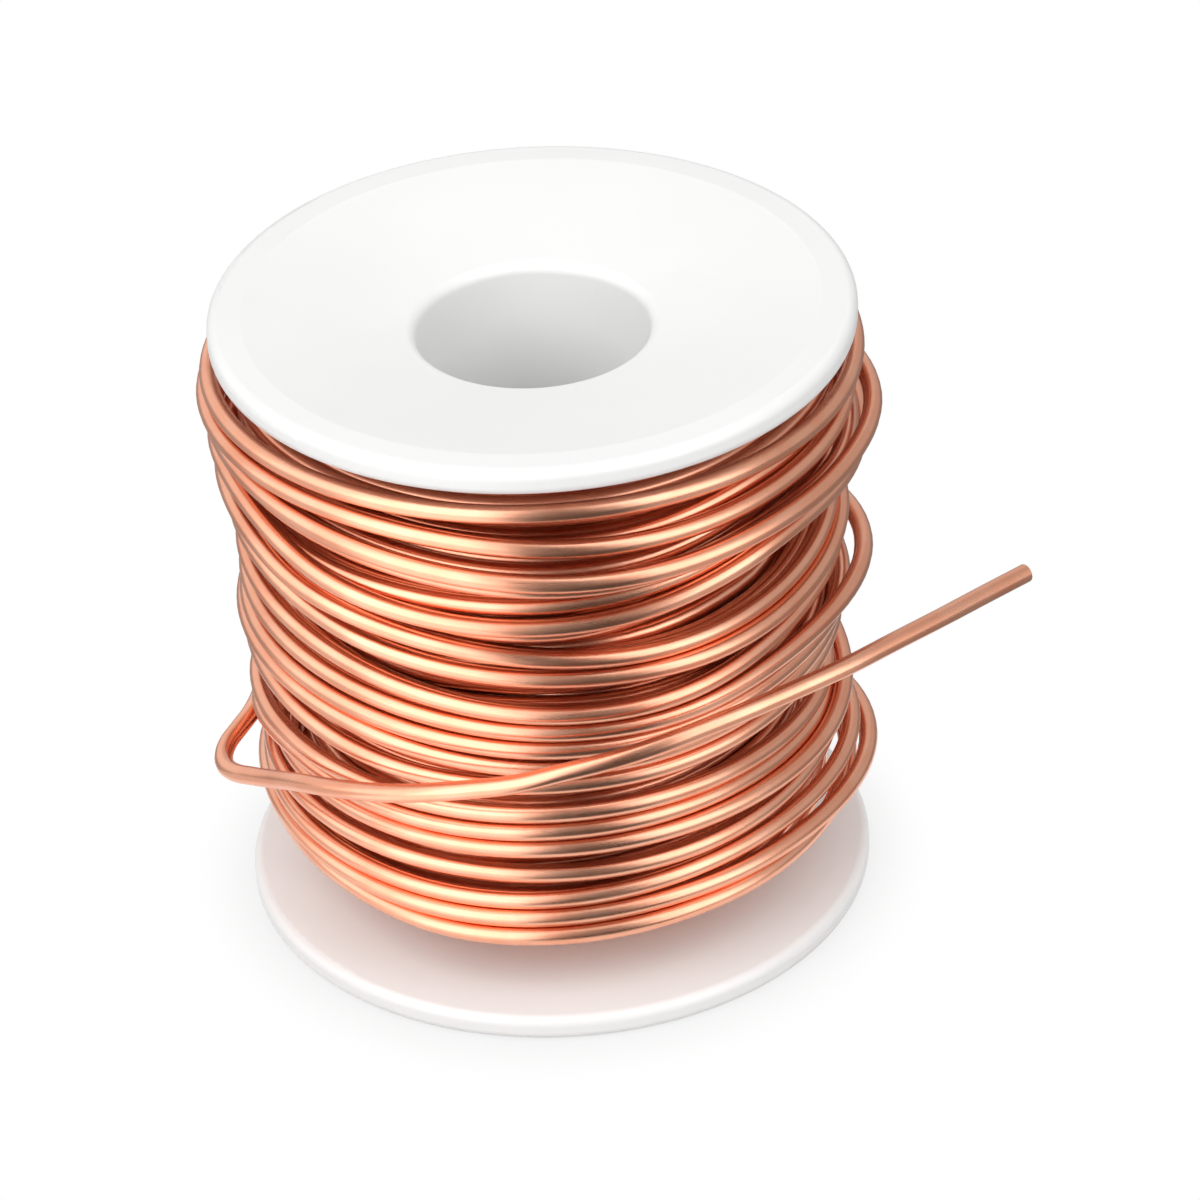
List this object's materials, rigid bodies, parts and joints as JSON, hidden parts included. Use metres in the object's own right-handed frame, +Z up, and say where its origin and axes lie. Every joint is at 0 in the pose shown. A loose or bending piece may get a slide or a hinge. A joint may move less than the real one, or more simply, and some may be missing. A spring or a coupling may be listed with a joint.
{
  "type": "wire spool",
  "caption": "Moulded white plastic spool with dished flanges and a plain through bore, loosely wound with bare copper wire that ends in a free cut end.",
  "frame": {"origin": "centre of the rim ring that the spool stands on, on the axis of the bore", "axes": "+Z up the bore from the lower flange to the upper flange, +X towards the side where the free end of the wire leaves, -Y towards the front that the free end crosses"},
  "size_m": [0.0712, 0.059, 0.0575],
  "materials": {
    "white_plastic": "moulded, soft gloss",
    "copper_wire": "bright drawn bare copper"
  },
  "bodies": {
    "spool": {"upper_flange": "white_plastic", "lower_flange": "white_plastic", "barrel": "white_plastic", "inner_winding": "copper_wire", "lower_bundle": "copper_wire", "middle_bundle": "copper_wire", "top_bundle": "copper_wire", "wire_start": "copper_wire"},
    "free_end": {"last_turns": "copper_wire", "wire_tail": "copper_wire"}
  },
  "joints": [
    {"name": "wire_payoff", "type": "hinge", "parent": "spool", "child": "free_end", "pos_m": [0, 0, 0], "axis": [0, 0, 1], "continuous": true}
  ]
}
